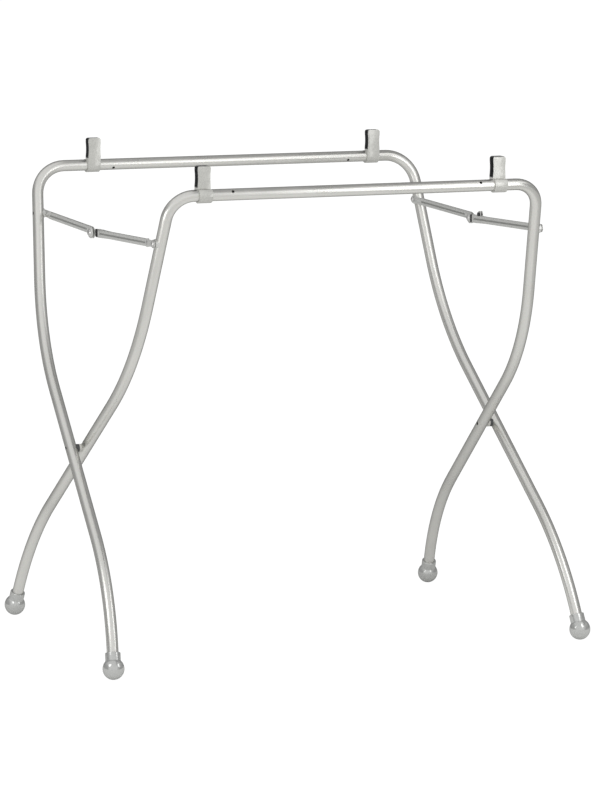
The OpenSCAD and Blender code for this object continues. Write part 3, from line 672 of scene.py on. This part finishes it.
# %% [markdown]
# ## Light, floor and background
# Two soft boxes stand quite near, one to the left and one in front to the right, and a
# panel hangs over the right-hand side. They make the bright stripes on the tubes and the
# highlights on every foot, and because they are near, those move as the eye goes down a
# leg. What a glossy surface mirrors besides them is a pale room that is darker to the
# sides and behind the stand, which gives each tube its dark edges, and a ceiling that is
# darker to the right. The room stays where it is when the stand is looked at from another
# side. Only the camera sees the background as white.

# %% Soft boxes
LAMP_AIM = Vector((0, 0, 0.45))


def soft_box(name, place, power, width, height):
    """A rectangular lamp that faces the middle of the stand."""
    lamp = bpy.data.lights.new(name, "AREA")
    lamp.shape = "RECTANGLE"
    lamp.size, lamp.size_y, lamp.energy = width, height, power
    box = new_object(name, lamp)
    box.location = place
    box.rotation_euler = (Vector(place) - LAMP_AIM).to_track_quat("Z", "Y").to_euler()


soft_box("left_soft_box", (-1.10, -0.50, 0.70), power=1.05, width=0.38, height=0.45)
soft_box("right_soft_box", (0.56, -1.14, 0.95), power=2.1, width=0.4, height=0.85)
soft_box("right_overhead_panel", (0.85, -0.80, 1.60), power=1.0, width=0.7, height=0.7)
print("lamps:", len(bpy.data.lights))

# %% How bright the room is in a direction
TO_SIDE = {"From Min": 0.6, "From Max": 0.95}  # how far a direction leans to one side
FULLY_AHEAD = 0.4  # how far it leans the way that the camera looks


def ray_kinds(tree):
    """The kinds of ray, and 1 for a ray straight from the camera or through something clear."""
    path = add_node(tree, "ShaderNodeLightPath").outputs
    clear = add_node(tree, "ShaderNodeMath", {
        0: path["Is Camera Ray"], 1: path["Is Transmission Ray"]}, operation="MAXIMUM")
    return path, clear.outputs[0]


def room_level(tree, way, pale, ahead_from, dark):
    """A room that is pale where the camera stands, and dark to its sides and behind the stand."""
    across = add_node(tree, "ShaderNodeVectorMath", {0: way, 1: right}, operation="DOT_PRODUCT")
    sideways = add_node(tree, "ShaderNodeMath", {0: across.outputs["Value"]}, operation="ABSOLUTE")
    ahead = add_node(tree, "ShaderNodeVectorMath", {0: way, 1: look}, operation="DOT_PRODUCT")
    to_side = add_node(tree, "ShaderNodeMapRange", {
        "Value": sideways.outputs[0], **TO_SIDE}, interpolation_type="SMOOTHSTEP")
    behind = add_node(tree, "ShaderNodeMapRange", {
        "Value": ahead.outputs["Value"], "From Min": ahead_from, "From Max": FULLY_AHEAD},
        interpolation_type="SMOOTHSTEP")
    most = add_node(tree, "ShaderNodeMath", {
        0: to_side.outputs[0], 1: behind.outputs[0]}, operation="MAXIMUM")
    return add_node(tree, "ShaderNodeMix", {0: most.outputs[0], 2: pale, 3: dark}).outputs[0]


# %% World
ROOM_PALE, ROOM_DARK = 0.94, 0.36  # how bright the room is as glossy surfaces mirror it
CEILING_LEFT, CEILING_RIGHT = 0.86, 0.26
CEILING_STARTS = {"From Min": 0.5, "From Max": 0.8}  # by how far a direction leans upwards
CEILING_TURNS = {"From Min": 0.2, "From Max": 0.4}  # and to the right
ROOM_AHEAD_FROM = 0.0
SEEN_WHITE = 1.0

world = bpy.data.worlds.new("studio")
bpy.context.scene.world = world
world.use_nodes = True
tree = world.node_tree
tree.nodes.clear()
_, clear = ray_kinds(tree)
way = add_node(tree, "ShaderNodeTexCoord").outputs["Generated"]
parts = add_node(tree, "ShaderNodeSeparateXYZ", {0: way}).outputs
overhead = add_node(tree, "ShaderNodeMapRange", {
    "Value": parts["Z"], **CEILING_STARTS}, interpolation_type="SMOOTHSTEP")
to_right = add_node(tree, "ShaderNodeMapRange", {
    "Value": parts["X"], **CEILING_TURNS}, interpolation_type="SMOOTHSTEP")
ceiling = add_node(tree, "ShaderNodeMix", {0: to_right.outputs[0], 2: CEILING_LEFT, 3: CEILING_RIGHT})
front = add_node(tree, "ShaderNodeMix", {0: overhead.outputs[0], 2: ROOM_PALE, 3: ceiling.outputs[0]})
room = room_level(tree, way, front.outputs[0], ROOM_AHEAD_FROM, ROOM_DARK)
level = add_node(tree, "ShaderNodeMix", {0: clear, 2: room, 3: SEEN_WHITE})
backdrop = add_node(tree, "ShaderNodeBackground", {"Color": (1, 1, 1, 1), "Strength": level.outputs[0]})
add_node(tree, "ShaderNodeOutputWorld", {"Surface": backdrop.outputs[0]})
print("world:", len(tree.nodes), "nodes")

# %% [markdown]
# The floor is matt white paper, which keeps the shadow of the stand. Paper in a studio is
# lit until it looks white, so part of what the camera sees of it is a glow. In reflections
# it follows the room: pale in front, and darker far out to the sides and behind.

# %% Floor
FLOOR_SIZE = 80
FLOOR_DROP = 0.2 * MM  # the paper lies a hair below the feet
edit = bmesh.new()
bmesh.ops.create_grid(edit, x_segments=1, y_segments=1, size=FLOOR_SIZE / 2)
floor = new_object("floor", finished_mesh(edit, "floor"))
floor.location.z = -FLOOR_DROP

# %% Paper
FLOOR_PALE, FLOOR_DARK = 1.5, 0.6
FLOOR_AHEAD_FROM = -0.15
NEAR_FLOOR = 1.2  # nearer than this, the floor has no dark sides
SEEN_GLOW, GLOW_SHARE, SEEN_GLOW_SHARE = 1.14, 0.25, 0.86

paper = bpy.data.materials.new("white_paper_floor")
paper.use_nodes = True
tree = paper.node_tree
tree.nodes.clear()
path, clear = ray_kinds(tree)
matt = add_node(tree, "ShaderNodeBsdfDiffuse", {"Color": colour("#f4f4f2")})
# The way from the stand to a place on the floor, as a vector that is short near the stand.
spot = add_node(tree, "ShaderNodeTexCoord").outputs["Object"]
reach = add_node(tree, "ShaderNodeVectorMath", {0: spot}, operation="LENGTH").outputs["Value"]
reach = add_node(tree, "ShaderNodeMath", {0: reach, 1: NEAR_FLOOR}, operation="MAXIMUM").outputs[0]
shrink = add_node(tree, "ShaderNodeMath", {0: 1.0, 1: reach}, operation="DIVIDE").outputs[0]
way = add_node(tree, "ShaderNodeVectorMath", {0: spot, "Scale": shrink}, operation="SCALE").outputs["Vector"]
mirrored = room_level(tree, way, FLOOR_PALE, FLOOR_AHEAD_FROM, FLOOR_DARK)
seen = add_node(tree, "ShaderNodeMix", {0: path["Is Glossy Ray"], 2: 0.0, 3: mirrored})
level = add_node(tree, "ShaderNodeMix", {0: clear, 2: seen.outputs[0], 3: SEEN_GLOW})
glow = add_node(tree, "ShaderNodeEmission", {"Color": (1, 1, 1, 1), "Strength": level.outputs[0]})
share = add_node(tree, "ShaderNodeMix", {0: clear, 2: GLOW_SHARE, 3: SEEN_GLOW_SHARE})
both = add_node(tree, "ShaderNodeMixShader", {0: share.outputs[0], 1: matt.outputs[0], 2: glow.outputs[0]})
add_node(tree, "ShaderNodeOutputMaterial", {"Surface": both.outputs[0]})
floor.data.materials.append(paper)
print("floor:", FLOOR_SIZE, "m of", paper.name)

# %% Colour management
bpy.context.scene.view_settings.view_transform = "Standard"
